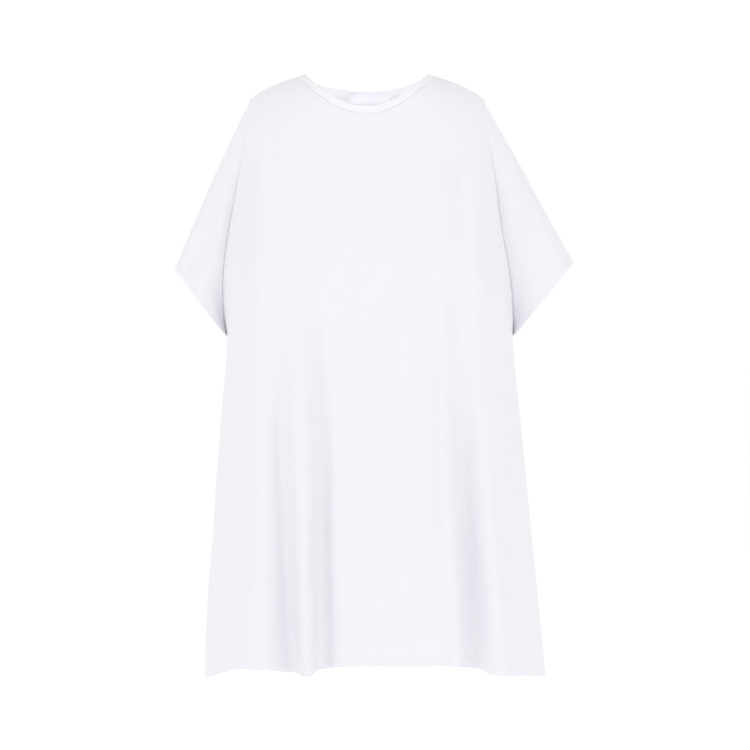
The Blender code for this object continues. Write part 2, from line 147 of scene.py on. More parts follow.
def seamInset(drop):
    # half the gap between sleeve and body, none below the underarm
    return np.clip((dress["underarm"] - drop) / dress["underarmFade"], 0, 1) * gapFrom("pointGap", drop) / 2


def edgeTurn(drop):
    return np.radians(smooth(edgeTurns["drop"], edgeTurns["degrees"], drop))


def ridgeDrop(x):
    return smooth(shoulderLine["x"], shoulderLine["drop"], np.abs(x))


# The rows of folds are the large hanging ones: where the crest starts and bends, as drop and x, its x at the
# hem, the widths to its left and right, the share of them at the start, how far it stands out, or in below
# zero, and the drop where it is fullest.
front = {
    "sign": -1,
    "depth": "front",
    "armhole": 0.043,
    "round": 0.085,
    "neckDrop": 0.0655,
    "neckPower": (0.9, 1.00),  # on the left and on the right
    "hemX": [-.265, -.24, -.218, -.191, -.16, -.14, -.12, -.098, -.07,
             -.05, .06, .15, .175, .196, .215, .26, .291],
    "hemDrop": [.9768, .9665, .9575, .949, .949, .9525, .956, .9575, .951,
                .9465, .9455, .9465, .952, .9585, .959, .966, .9768],
    "folds": [
        (.38, -.176, .66, -.172, -.166, .074, .048, .8, .028, .985),
        (.33, -.116, .62, -.101, -.091, .027, .028, 1.25, .03, .985),
        (.2, -.104, .5, -.08, -.062, .026, .03, .7, -.008, .7),
        (.07, -.178, .33, -.172, -.18, .044, .052, .6, .012, .38),
        (.38, .192, .66, .204, .225, .054, .076, .85, .034, .985),
        (.3, .137, .6, .158, .168, .03, .03, .7, -.01, .8),
        (.18, .13, .56, .121, .144, .036, .026, .8, .012, .985),
        (.23, .1, .48, .1, .104, .034, .026, .8, -.004, .52),
        (.08, .176, .33, .175, .2, .05, .042, .6, .012, .36),
    ],
}
back = {
    "sign": 1,
    "depth": "back",
    "armhole": 0.045,
    "round": 0.075,
    "neckDrop": 0.0158,
    "neckPower": (0.55, 1.00),
    "hemX": [-.265, -.22, -.15, 0, .15, .23, .291],
    "hemDrop": [.9768, .966, .96, .956, .96, .968, .9768],
    "folds": [
        (.36, -.196, .66, -.2, -.206, .06, .052, .6, .028, .985),
        (.3, -.13, .62, -.136, -.142, .048, .046, .6, -.012, .985),
        (.26, -.078, .6, -.082, -.09, .046, .052, .55, .03, .985),
        (.16, -.012, .56, -.004, .006, .062, .058, .6, -.012, .985),
        (.3, .072, .64, .086, .104, .05, .044, .55, .032, .985),
        (.36, .13, .66, .146, .16, .042, .04, .6, -.01, .985),
        (.33, .186, .66, .204, .222, .052, .062, .6, .026, .985),
        (.08, -.168, .3, -.166, -.18, .046, .05, .6, .01, .33),
        (.08, .168, .3, .168, .19, .05, .046, .6, .01, .33),
    ],
}


def foldHeight(face, x, drop):
    out = np.zeros_like(x)
    for start, xStart, bend, xBend, xHem, left, right, narrow, height, swell in face["folds"]:
        crest = smooth([start, bend, dress["hem"]], [xStart, xBend, xHem], drop)
        run = np.clip((drop - start) / (dress["hem"] - start), 0, 1)
        width = narrow + (1 - narrow) * run
        grown = np.clip((drop - start) / (swell - start), 0, None)
        fading = 1 - np.clip((drop - swell) / (dress["hem"] - swell + dress["foldRunOut"]), 0, 1)
        growing = np.sin(math.pi / 2 * np.clip(grown, 0, 1)) ** dress["growthPower"]
        height = height * np.where(grown < 1, growing, fading)
        out = out + height * bump(x - crest, left * width, right * width)
    return out


def depthOf(face, x, drop):
    # how far the cloth stands before or behind the side seams
    share = np.clip(x / (halfWidth(x, drop) - seamInset(drop)), -1, 1)
    turn = edgeTurn(drop)
    arc = np.sqrt(np.clip(1 - (share * np.sin(turn)) ** 2, 0, 1))
    crown = np.clip((arc - np.cos(turn)) / (1 - np.cos(turn)), 0, 1) ** level("square", drop)
    closed = dress["underarm"] - dress["underarmSeam"]
    closing = np.clip((closed - np.asarray(drop)) / (closed - dress["closingDrop"]), 0, 1)
    closing = np.sin(math.pi / 2 * closing) ** dress["armholePower"]
    fading = np.clip((drop - dress["closingDrop"]) / (dress["fadingDrop"] - dress["closingDrop"]), 0, 1)
    held = face["armhole"] * (0.5 + 0.5 * np.cos(math.pi * fading))
    full = held + (level(face["depth"], drop) - held) * crown
    full = full - (held - face["armhole"] * closing) * np.abs(share) ** dress["tuckPower"]
    left = 1 - np.clip((drop - ridgeDrop(x)) / face["round"], 0, 1)
    standing = foldHeight(face, x, drop) * (1 - np.abs(share) ** dress["holdPower"])
    return gapFrom("shoulderGap", drop) / 2 + np.sqrt(1 - left * left) * full + standing


def onCloth(face, x, drop):
    return np.stack([x, face["sign"] * depthOf(face, x, drop), -drop], axis=-1)


def necklineDrop(face, x, offset):
    # the neckline, or a line that runs beside it at an offset
    half = dress["neckHalf"] + offset
    share = np.clip(np.abs(x) / half, 0, 1)
    lean = 0.5 + 0.5 * np.tanh(x / (dress["neckLean"] * half))
    low, high = face["neckPower"]
    ends = ridgeDrop(half)
    return ends + (face["neckDrop"] + offset - ends) * (1 - share**2) ** (low + (high - low) * lean)


def lengths(points):
    return np.concatenate([[0], np.cumsum(np.linalg.norm(np.diff(points, axis=0), axis=1))])


def between(at, along, values):
    # points or vectors at the given lengths along a line
    return np.stack([np.interp(at, along, values[:, k]) for k in range(3)], axis=1)


def placed(points, shares):
    along = lengths(points)
    return between(np.asarray(shares) * along[-1], along, points)


def arcAlong(grid, axis):
    steps = np.linalg.norm(np.diff(grid, axis=axis), axis=2)
    first = np.zeros_like(np.take(steps, [0], axis=axis))
    return np.cumsum(np.concatenate([first, steps], axis=axis), axis=axis)


def toEnd(grid):
    # how far each place lies from the hem or cuff, along the cloth
    top = arcAlong(grid, 0)
    return top[-1:, :] - top


def normalsOf(grid, ring=False, middle=(0, 0, 0)):
    # the cloth's normals, turned away from the upright line through the middle
    across = np.gradient(grid, axis=1)
    if ring:
        across = (np.roll(grid, -1, axis=1) - np.roll(grid, 1, axis=1)) / 2
    normal = unit(np.cross(across, np.gradient(grid, axis=0)))
    away = (grid - np.array(middle)) * np.array([1, 1, 0])
    return normal if (normal * away).sum() > 0 else -normal


def wander(u, v, seed, size, waves=7, calm=3.2):
    # slow, smooth, uneven values about -1 to 1, the same on every run
    rng = np.random.default_rng(seed)
    out = np.zeros(np.broadcast(u, v).shape)
    for _ in range(waves):
        a, b = rng.normal(0, 1 / size, 2)
        out = out + np.sin(a * u + b * v + rng.uniform(0, 2 * math.pi))
    return out / calm


def creaseHeight(table, x, drop, steps=28):
    # Creases lie on top of the large folds. A row has the (x, drop) places that it runs through, its half
    # widths at the two ends, how far it stands out there, or in below zero, the shares of its length over
    # which it starts and ends, and how much steeper one flank is than the other.
    out = np.zeros_like(x)
    for path, widths, heights, (starts, stops), sharp in table:
        path = np.array(path)
        along = lengths(path)
        at = np.linspace(0, along[-1], steps)
        line = np.stack([smooth(along, path[:, k], at) for k in range(2)], axis=1)
        reach = 3 * max(widths)
        low, high = line.min(axis=0) - reach, line.max(axis=0) + reach
        beside = (x > low[0]) & (x < high[0]) & (drop > low[1]) & (drop < high[1])
        px, pd = x[beside], drop[beside]
        best = np.full(px.shape, np.inf)
        place, signed = np.zeros_like(px), np.zeros_like(px)
        for k in range(steps - 1):
            (ax, ad), (bx, bd) = line[k], line[k + 1]
            dx, dd = bx - ax, bd - ad
            t = np.clip(((px - ax) * dx + (pd - ad) * dd) / (dx * dx + dd * dd), 0, 1)
            ox, od = px - ax - t * dx, pd - ad - t * dd
            away = np.hypot(ox, od)
            closer = away < best
            best = np.where(closer, away, best)
            place = np.where(closer, (k + t) / (steps - 1), place)
            signed = np.where(closer, np.sign(ox * dd - od * dx), signed)
        width = widths[0] + (widths[1] - widths[0]) * place
        width = width * (1 - sharp * signed)
        tall = heights[0] + (heights[1] - heights[0]) * place
        ends = ease(place / starts) * (ease((1 - place) / stops) if stops else 1)
        out[beside] += tall * ends * near(best, width)
    return out


def addObject(name, data):
    made = bpy.data.objects.new(name, data)
    bpy.context.scene.collection.objects.link(made)
    return made


def addMesh(name, points, faces, places=None):
    # places are where the points lie on the flat cloth, which the weave follows
    mesh = bpy.data.meshes.new(name)
    mesh.from_pydata(points.tolist(), [], faces.tolist() if hasattr(faces, "tolist") else faces)
    if places is not None:
        flat = mesh.attributes.new("clothPlace", "FLOAT_VECTOR", "POINT")
        flat.data.foreach_set("vector", places.astype(np.float32).ravel())
    mesh.validate()
    mesh.shade_smooth()
    return addObject(name, mesh)


def rimPlaces(rows, columns, ring):
    # the rows and columns along a grid's open edges: two rings, or one loop
    if ring:
        return [[(r, c) for c in range(columns)] for r in (0, rows - 1)]
    return [[(0, c) for c in range(columns)] + [(r, columns - 1) for r in range(1, rows)]
            + [(rows - 1, c) for c in range(columns - 2, -1, -1)] + [(r, 0) for r in range(rows - 2, 0, -1)]]


def offTheEdge(middle, r, c, ring):
    # the way that leads off the cloth, in its own plane, at places on its edge
    out = np.zeros((len(r), 3))
    for at, axis in ((r, 0),) if ring else ((r, 0), (c, 1)):
        last = middle.shape[axis] - 1
        for edge, inward in ((0, 1), (last, -1)):
            nextR, nextC = (r + inward, c) if axis == 0 else (r, c + inward)
            nextR, nextC = np.clip(nextR, 0, middle.shape[0] - 1), np.clip(nextC, 0, middle.shape[1] - 1)
            away = unit(middle[r, c] - middle[nextR, nextC])
            out[at == edge] += away[at == edge]
    return unit(out)


def shell(name, grid, wall, ring=False, roundness=0.45):
    # a closed piece of cloth: the grid is its outer face, and its edges are rounded
    rows, columns = grid.shape[:2]
    count = rows * columns
    wall = np.broadcast_to(wall, (rows, columns))[..., None]
    inner = grid - normalsOf(grid, ring) * wall
    middle = (grid + inner) / 2
    u, v = arcAlong(grid, 1), arcAlong(grid, 0)
    flat = np.stack([u - u[:, [columns // 2]], v, np.zeros_like(u)], axis=-1)
    index = np.arange(count).reshape(rows, columns)
    if ring:
        index = np.concatenate([index, index[:, :1]], axis=1)
    corners = [index[:-1, :-1], index[:-1, 1:], index[1:, 1:], index[1:, :-1]]
    outer = np.stack(corners, axis=-1).reshape(-1, 4)
    points = [grid.reshape(-1, 3), inner.reshape(-1, 3)]
    places = [flat.reshape(-1, 3), flat.reshape(-1, 3)]
    faces = [outer, outer[:, ::-1] + count]
    base = 2 * count
    for rim in rimPlaces(rows, columns, ring):
        r, c = np.array(rim).T
        points.append(middle[r, c] + offTheEdge(middle, r, c, ring) * wall[r, c] * roundness)
        places.append(flat[r, c])
        here, mid = r * columns + c, base + np.arange(len(rim))
        nextHere, nextMid = np.roll(here, -1), np.roll(mid, -1)
        faces.append(np.stack([here, mid, nextMid, nextHere], axis=-1))
        faces.append(np.stack([mid, here + count, nextHere + count, nextMid], axis=-1))
        base += len(rim)
    return addMesh(name, np.concatenate(points), np.concatenate(faces), np.concatenate(places))


# materials

class Sock:
    # wraps a node's output so that shader maths reads as arithmetic
    def __init__(self, tree, socket=None):
        self.tree, self.socket = tree, socket

    def feed(self, socket, value):
        if isinstance(value, Sock):
            self.tree.links.new(value.socket, socket)
        else:
            socket.default_value = value

    def fill(self, name, values):
        for key, value in values.items():
            self.feed(self.tree.nodes[name].inputs[key], value)

    def node(self, kind, settings=None, **values):
        # a new node's first output; i and a number names a socket by its place
        made = self.tree.nodes.new(kind)
        for key, value in (settings or {}).items():
            setattr(made, key, value)
        for key, value in values.items():
            self.feed(made.inputs[int(key[1:]) if key[1:].isdigit() else key], value)
        return Sock(self.tree, made.outputs[0])

    def out(self, name):
        # another output of the same node
        return Sock(self.tree, self.socket.node.outputs[name])

    def maths(self, operation, a, b=0.0):
        return self.node("ShaderNodeMath", {"operation": operation}, i0=a, i1=b)

    def __add__(self, other):
        return self.maths("ADD", self, other)

    def __sub__(self, other):
        return self.maths("SUBTRACT", self, other)

    def __rsub__(self, other):
        return self.maths("SUBTRACT", other, self)

    def __mul__(self, other):
        return self.maths("MULTIPLY", self, other)

    def sine(self):
        return self.maths("SINE", self)

    def absolute(self):
        return self.maths("ABSOLUTE", self)

    def sign(self):
        return self.maths("SIGN", self)

    __radd__, __rmul__ = __add__, __mul__


fabric = {
    "colour": (0.84, 0.841, 0.88, 1),
    # the darker end of the colour mix, used both for the cloth's uneven tone and for the painted shade in its
    # creases
    "shadeColour": (0.815, 0.816, 0.86, 1),
    "threadPitch": 0.00055,
    "float": 1,  # how many threads each warp thread passes over
    "weaveDepth": 0.00009,
    "slubDepth": 0.00012,
    "crumple": 0.0007,  # depth of the soft unevenness a few centimetres across
    "paintedShading": 1.6,  # painted highlight and shade: how much paler the cloth is painted along its edges and crests, and darker in its creases
    "roughness": 0.82,
    "sheen": 0.16,
    "sheenRoughness": 0.45,
    "shine": 0.28,
    "through": 0.15,  # share of the light that spreads in the cloth and comes out on its other side
    "reach": 0.0025,
}
bindingCloth = {**fabric, "colour": (.875, .878, .905, 1), "shadeColour": (.85, .855, .885, 1)}
threadCloth = {**fabric, "colour": (.89, .89, .91, 1), "threadPitch": 0.0003, "roughness": 0.62,
               "sheen": 0.05, "through": 0.0}
labelCloth = {**fabric, "colour": (.88, .885, .915, 1), "shadeColour": (.84, .845, .885, 1),
              "threadPitch": 0.00032, "float": 4, "roughness": 0.48, "sheen": 0.3, "through": 0.05,
              "crumple": 0.0002}
# what makes the cloth uneven: how many features a metre it has across and along, and its seed
grain = {
    "warpSlubs": (700, 60, 3),
    "weftSlubs": (60, 900, 8),
    "clouds": (14, 9, 5),
    "fuzz": (1500, 1500, 1),
    "crumples": (38, 21, 12),
}
# how much each of them counts, alike in every cloth
shares = {
    "slubColour": 0.5,
    "cloudColour": 0.35,
    "threadColour": 0.15,
    "slubRoughness": 0.12,
    "cloudRoughness": 0.06,
    "crumpleStrength": 0.6,
    "weaveStrength": 0.55,
    "slubStrength": 0.6,
    "fuzz": 0.35,
}


def clothMaterial(name, facts):
    material = bpy.data.materials.new(name)
    material.use_nodes = True
    start = Sock(material.node_tree)
    spot = start.node("ShaderNodeAttribute", {"attribute_name": "clothPlace"}).out("Vector")
    u = start.node("ShaderNodeSeparateXYZ", i0=spot)
    v = u.out("Y")

    # warp and weft threads pass over and under each other
    turn = math.pi / facts["threadPitch"]
    warp, weft = (u * turn).sine(), (v * (turn / facts["float"])).sine()
    over = (warp * weft).sign() * 0.5
    threads = warp.absolute() * (over + 0.5) + weft.absolute() * (0.5 - over)

    def uneven(kind):
        across, along, seed = grain[kind]
        scaled = start.node("ShaderNodeVectorMath", {"operation": "MULTIPLY"}, i0=spot, i1=(across, along, 1))
        moved = start.node("ShaderNodeVectorMath", {"operation": "ADD"}, i0=scaled, i1=(seed, seed * 2, 0))
        return start.node("ShaderNodeTexNoise", {"noise_dimensions": "3D"}, Vector=moved, Scale=1.0,
                          Detail=3.0, Roughness=0.55).out("Fac")

    # slubs are slightly thicker stretches of thread, long in one direction
    slubs = uneven("warpSlubs") * 0.5 + uneven("weftSlubs") * 0.5
    clouds = uneven("clouds")
    # painted highlight and shade: the colour follows the cloth's curvature, paler on crests and edges and
    # darker in creases
    paintedCreaseShading = (start.node("ShaderNodeNewGeometry").out("Pointiness") - 0.5) * facts["paintedShading"]
    blend = slubs * shares["slubColour"] + clouds * shares["cloudColour"]
    blend = blend + threads * shares["threadColour"] + paintedCreaseShading
    colour = start.node("ShaderNodeMix", {"data_type": "RGBA"}, i0=blend, i6=facts["shadeColour"],
                        i7=facts["colour"]).out(2)
    rough = facts["roughness"] + (slubs - 0.5) * shares["slubRoughness"]
    rough = rough + (clouds - 0.5) * shares["cloudRoughness"]
    soft = start.node("ShaderNodeBump", Strength=shares["crumpleStrength"], Distance=facts["crumple"],
                      Height=uneven("crumples"))
    weave = start.node("ShaderNodeBump", Strength=shares["weaveStrength"], Distance=facts["weaveDepth"],
                       Height=threads + uneven("fuzz") * shares["fuzz"], Normal=soft)
    relief = start.node("ShaderNodeBump", Strength=shares["slubStrength"], Distance=facts["slubDepth"],
                        Height=slubs, Normal=weave)
    start.fill("Principled BSDF", {
        "Base Color": colour,
        "Roughness": rough,
        "Normal": relief,
        "Sheen Weight": facts["sheen"],
        "Sheen Roughness": facts["sheenRoughness"],
        "Specular IOR Level": facts["shine"],
        "Subsurface Weight": facts["through"],
        "Subsurface Radius": (1.0, 1.0, 1.0),
        "Subsurface Scale": facts["reach"],
    })
    return material


clothWhite = clothMaterial("white cloth", fabric)
bindingWhite = clothMaterial("white binding", bindingCloth)
threadWhite = clothMaterial("white thread", threadCloth)
labelWhite = clothMaterial("white label", labelCloth)
print("materials made")

pieces = {}


def keep(key, piece, material, node=None):
    made = bmesh.new()
    made.from_mesh(piece.data)
    bmesh.ops.recalc_face_normals(made, faces=made.faces)
    made.to_mesh(piece.data)
    made.free()
    piece.data.materials.append(material)
    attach(piece, "root")
    if node:
        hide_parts(node)
    pieces[key] = piece


def measured(name, piece, grid):
    area = sum(face.area for face in piece.data.polygons) / 2
    print(name, grid.shape, "area %.5f" % area, "widest %.4f" % arcAlong(grid, 1)[:, -1].max(),
          "longest %.4f" % arcAlong(grid, 0)[-1].max(), "faces", len(piece.data.polygons))


# stitches: short threads that dip into the cloth at both ends

thread = {
    "length": 0.0024,
    "gap": 0.0007,
    "radius": 0.00024,
    "sides": 5,
    "dip": 0.00028,
    "lift": 0.00006,
    "aim": 0.0003,  # how far before and behind a place the thread's direction is taken
    "shape": [(-0.5, 0.35), (-0.3, 0.95), (0.3, 0.95), (0.5, 0.35)],  # shares of the length and of the radius
}
labelThread = {**thread, "length": 0.0017, "gap": 0.0006, "radius": 0.00017}


def stitches(key, name, path, normals, closed=False, facts=thread):
    if closed:
        path, normals = np.concatenate([path, path[:1]]), np.concatenate([normals, normals[:1]])
    along = lengths(path)
    count = max(1, int(along[-1] / (facts["length"] + facts["gap"])))
    middle = (np.arange(count) + 0.5) * (along[-1] / count)
    sides, shape = facts["sides"], facts["shape"]
    turns = 2 * math.pi * np.arange(sides)[:, None, None] / sides
    rings = []
    for share, fat in shape:
        at = middle + share * facts["length"]
        up = unit(between(at, along, normals))
        ahead = unit(between(at + facts["aim"], along, path) - between(at - facts["aim"], along, path))
        height = facts["lift"] - (facts["dip"] if fat < 0.5 else 0)
        spokes = np.cos(turns) * np.cross(ahead, up) + np.sin(turns) * up
        ring = between(at, along, path) + up * height + facts["radius"] * fat * spokes
        rings.append(np.moveaxis(ring, 0, 1))
    points = np.stack(rings, axis=1)  # stitch, ring, side, xyz
    faces = []
    for one in range(count):
        base = one * len(shape) * sides
        for r in range(len(shape) - 1):
            for k in range(sides):
                a, b = base + r * sides + k, base + r * sides + (k + 1) % sides
                faces.append((a, b, b + sides, a + sides))
        faces.append(tuple(base + k for k in reversed(range(sides))))
        faces.append(tuple(base + (len(shape) - 1) * sides + k for k in range(sides)))
    places = np.repeat(middle, len(shape) * sides)
    places = np.stack([places, places * 0, places * 0], axis=1)
    keep(key, addMesh(name, points.reshape(-1, 3), faces, places), threadWhite)


def hemStitches(key, name, grid, middle=(0, 0, 0)):
    # a row of stitches along the top of a hem's or cuff's turned-up band
    end, columns = toEnd(grid)[::-1], range(2, grid.shape[1] - 2)

    def alongBand(values):
        return np.concatenate([between([dress["hemBand"]], end[:, c], values[::-1, c]) for c in columns])

    stitches(key, name, alongBand(grid), alongBand(normalsOf(grid, middle=middle)))


# front and back

# the panels' rows in each stretch, from the top, and the depths of the first and the last stretch
panelRows = {"shoulder": 26, "arm": 24, "drawing": 24, "skirt": 91, "hem": 18, "rounded": 0.085,
             "hemStretch": 0.024}
panelColumns = {"fine": 420, "outer": 40, "inner": 104, "crowding": 1.5}
# sizes of what is added to the cloth, and the distances over which it fades out
finish = {
    "seamFade": 0.012,  # creases fade towards the seams and the top
    "topFade": 0.02,
    "uneven": 0.0007,
    "unevenWaves": (11, 0.045),  # seed and size
    "unevenFade": 0.03,
    "pucker": 0.00022,  # beside the hem's stitches
    "puckerPace": 520,
    "puckerShift": 2.4,
    "puckerWaves": (5, 0.02),
    "puckerReach": 0.006,
    "patches": 0.4,  # how much the puckers come and go
    "patchWaves": (9, 0.03),
    "groove": 0.00045,  # where the hem's stitches draw the cloth in
    "grooveReach": 0.0012,
    "armholeFade": 0.03,
    "seamStart": 0.01,
    "tuck": 0.0008,  # how far the neck's edge goes under the binding
    "tuckReach": 0.0026,
    "tuckFade": 0.008,
}


def rowShares():
    # closer rows at the shoulders, down to the underarm and in the hem
    whole = dress["hem"] - dress["shoulderDrop"]
    closing = dress["closingDrop"] - dress["shoulderDrop"]
    under = dress["underarm"] - dress["shoulderDrop"]
    rounded, hem = panelRows["rounded"], whole - panelRows["hemStretch"]
    turned = 1 - np.cos(np.linspace(0, math.pi / 2, panelRows["shoulder"] + 1))
    drawn = np.sin(np.linspace(0, math.pi / 2, panelRows["drawing"] + 1))[1:]
    return np.concatenate([
        rounded * turned,
        np.linspace(rounded, closing, panelRows["arm"] + 1)[1:],
        closing + (under - closing) * drawn,
        np.linspace(under, hem, panelRows["skirt"] + 1)[1:],
        np.linspace(hem, whole, panelRows["hem"] + 1)[1:],
    ]) / whole


def spread(places, drop):
    # how far from the middle a place on a panel lies, from -1 at its left edge to 1 at its right one
    turned = edgeTurn(drop)
    return (halfWidth(places, drop) - seamInset(drop)) * np.sin(places * turned) / np.sin(turned)


def panelGrid(face):
    turn = float(edgeTurn(dress["shoulderDrop"]))
    shoulder = dress["shoulderHalf"] - float(seamInset(dress["shoulderDrop"]))
    offset = dress["bindingWidth"] + dress["bindingGap"]
    neckShare = math.asin((dress["neckHalf"] + offset) / shoulder * math.sin(turn)) / turn
    outer = np.linspace(neckShare, 1, panelColumns["fine"])
    inner = np.sin(np.linspace(-math.pi / 2, math.pi / 2, panelColumns["fine"])) * neckShare
    toEdge = 1 - (1 - np.linspace(0, 1, panelColumns["outer"] + 1)) ** panelColumns["crowding"]
    parts = [
        (-outer[::-1], 1 - toEdge[::-1]),
        (inner, np.linspace(0, 1, panelColumns["inner"] + 1)),
        (outer, toEdge),
    ]
    rows = []
    for share in rowShares():
        lines = []
        for where, along in parts:
            atTop = shoulder * np.sin(where * turn) / math.sin(turn)
            atHem = halfWidth(where, dress["hem"]) * np.sin(where * math.pi / 2)
            cut = necklineDrop(face, atTop, offset)
            top = np.where(np.abs(where) < neckShare, cut, ridgeDrop(atTop))
            hem = smooth(face["hemX"], face["hemDrop"], atHem)
            drop = top + (hem - top) * share
            x = spread(where, drop) + (atTop - spread(where, top)) * (1 - share)
            lines.append(placed(onCloth(face, x, drop), along))
        rows.append(np.concatenate([lines[0][:-1], lines[1], lines[2][1:]]))
    return np.array(rows)


def stitchedBand(across, end, facts):
    # puckers beside the hem's stitch line, and the groove along it
    away = end - dress["hemBand"]
    shift = facts["puckerShift"] * wander(across, across * 0, *facts["puckerWaves"])
    waves = facts["pucker"] * np.sin(across * facts["puckerPace"] + shift) * near(away, facts["puckerReach"])
    return waves, facts["groove"] * near(away, facts["grooveReach"])


def dressPanel(face, grid):
    # creases, seams, the turned-up hem and its stitch line, moved along the cloth's own normals
    facts = finish
    x, drop = grid[..., 0].copy(), -grid[..., 2]
    normal = normalsOf(grid)
    across, top = arcAlong(grid, 1), arcAlong(grid, 0)
    fromLeft, fromRight = across, across[:, -1:] - across
    out = creaseHeight(face["creases"], x, drop)
    out *= ease((halfWidth(x, drop) - np.abs(x)) / facts["seamFade"])
    out *= ease(top / facts["topFade"])
    toEdge = ease(np.minimum(fromLeft, fromRight) / facts["unevenFade"]) * ease(top / facts["unevenFade"])
    out += facts["uneven"] * wander(across, top, *facts["unevenWaves"]) * toEdge
    waves, groove = stitchedBand(across, toEnd(grid), facts)
    patches = facts["patches"] * wander(across, across * 0, *facts["patchWaves"])
    out += waves * (1 - facts["patches"] + patches) - groove
    grid = grid + normal * out[..., None]
    # the seams are drawn in
    seam = dress["seamDip"] * (near(fromLeft, dress["seamWidth"]) + near(fromRight, dress["seamWidth"]))
    armhole = np.clip((dress["underarm"] - drop) / facts["armholeFade"], 0, 1)
    grid[..., 1] -= face["sign"] * seam * armhole * ease(top / facts["seamStart"])
    grid[..., 0] -= np.sign(x) * seam * (1 - armhole)
    onShoulder = ease((np.abs(x) - dress["neckHalf"] - dress["bindingWidth"]) / facts["tuckFade"])
    grid[..., 2] -= dress["shoulderDip"] * near(top, dress["shoulderWidth"]) * onShoulder
    underBinding = np.where(onShoulder > 0, 0, facts["tuck"] * near(top, facts["tuckReach"]))
    return grid - normal * underBinding[..., None]


def hemWall(grid):
    # the wall is thicker where the hem or cuff is turned up
    above = (toEnd(grid) - dress["hemBand"]) / dress["hemStep"] + 0.5
    return dress["wall"] + dress["hemWall"] * (1 - ease(above))


front["creases"] = [
    # left of the middle: two long troughs with a rounded fold between them
    ([(-.0998, .231), (-.092, .34), (-.0747, .503), (-.0638, .623), (-.067, .79), (-.065, .96)],
     (.008, .012), (-.0034, -.008), (.3, 0), .15),
    ([(-.139, .44), (-.139, .6), (-.1327, .713), (-.128, .8), (-.123, .87), (-.117, .96)],
     (.008, .011), (-.003, -.007), (.35, 0), -.15),
    ([(-.118, .42), (-.113, .54), (-.106, .7), (-.098, .83), (-.091, .965)],
     (.01, .013), (.003, .003), (.3, 0), 0),
    ([(-.1829, .09), (-.164, .17), (-.1594, .24), (-.162, .33), (-.166, .41)],
     (.012, .013), (.003, .002), (.3, .35), .2),
    ([(-.142, .47), (-.153, .56), (-.16, .64)], (.009, .01), (.0016, .001), (.35, .4), .1),
    ([(-.195, .62), (-.205, .76), (-.21, .88)], (.013, .018), (-.002, -.003), (.4, .3), 0),
    ([(-.185, .78), (-.19, .88), (-.193, .958)], (.012, .017), (.002, .003), (.4, 0), 0),
    ([(-.087, .37), (-.085, .45), (-.084, .52)], (.006, .006), (.0012, .0012), (.35, .35), 0),
    # right of the middle: a bright ridge, and a trough that widens down to the hem
    ([(.1197, .45), (.119, .56), (.122, .68), (.137, .77), (.147, .9)],
     (.01, .011), (.004, .002), (.3, .35), .15),
    ([(.1275, .41), (.1385, .529), (.1495, .619), (.1589, .728), (.1651, .816), (.17, .96)],
     (.006, .013), (-.003, -.008), (.35, 0), -.15),
    ([(.1024, .365), (.1024, .45), (.1024, .54)], (.005, .006), (-.0014, -.0014), (.3, .3), 0),
    ([(.1275, .2), (.129, .24), (.127, .29)], (.006, .006), (.0014, .0014), (.4, .4), 0),
    ([(.166, .17), (.169, .25), (.177, .34), (.183, .42)], (.011, .011), (.0032, .002), (.3, .35), -.2),
    ([(.18, .25), (.184, .31), (.185, .35)], (.006, .006), (-.0012, -.001), (.4, .4), 0),
    ([(.174, .56), (.176, .62), (.18, .7)], (.007, .008), (.0014, .0012), (.4, .4), 0),
    ([(.205, .44), (.208, .52), (.21, .61)], (.009, .01), (.0016, .0014), (.4, .4), 0),
    ([(.218, .6), (.23, .74), (.24, .88), (.245, .966)], (.013, .019), (-.0016, -.004), (.4, 0), 0),
    ([(.195, .7), (.202, .83), (.206, .962)], (.013, .018), (.0016, .004), (.4, 0), 0),
    # faint ones over the flat middle
    ([(.025, .74), (.028, .85), (.03, .95)], (.016, .022), (-.0008, -.0018), (.45, 0), 0),
    ([(-.03, .7), (-.032, .85), (-.03, .95)], (.016, .02), (.0006, .0014), (.45, 0), 0),
    ([(.07, .64), (.074, .8), (.078, .95)], (.012, .016), (-.0006, -.0014), (.45, 0), 0),
    # short ones where the cloth turns at the shoulders and below the arms
    ([(-.164, .06), (-.156, .085), (-.15, .112)], (.007, .008), (-.0012, -.0014), (.4, .45), 0),
    ([(.164, .062), (.159, .09), (.154, .118)], (.007, .008), (-.0012, -.0012), (.4, .45), 0),
    ([(-.218, .4), (-.208, .38), (-.195, .35)], (.006, .009), (-.0016, -.0008), (.3, .5), 0),
    ([(-.22, .44), (-.21, .45), (-.198, .48)], (.006, .009), (.0014, .0008), (.3, .5), 0),
    ([(.226, .405), (.215, .385), (.204, .35)], (.006, .009), (-.0012, -.0008), (.3, .5), 0),
]
